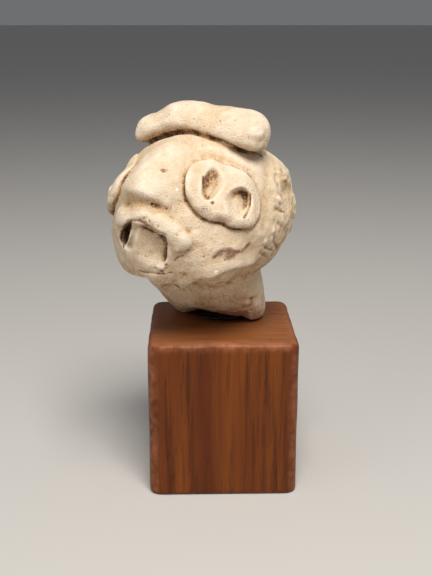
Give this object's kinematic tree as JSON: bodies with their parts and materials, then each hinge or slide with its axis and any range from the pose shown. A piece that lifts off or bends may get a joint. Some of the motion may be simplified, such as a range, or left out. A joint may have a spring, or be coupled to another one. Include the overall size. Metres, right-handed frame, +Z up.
{
  "type": "terracotta head",
  "caption": "Small broken clay head with ring eyes, open mouth and a rolled headband, mounted on a square hardwood block.",
  "frame": {"origin": "centre of the block's underside, which is what the object stands on", "axes": "+Z up; -Y out of the block's shown side; the clay face looks 32 degrees from -Y towards -X"},
  "size_m": [0.0489, 0.0479, 0.1012],
  "materials": {
    "fired_clay": "unglazed buff terracotta, hand modelled, with burial dirt, pits and stains",
    "glue": "dark dried glue",
    "stained_wood": "sawn hardwood, reddish brown stain, satin"
  },
  "bodies": {
    "root": {"terracotta_head": "fired_clay", "mounting_glue": "glue", "wood_block": "stained_wood"}
  },
  "joints": []
}
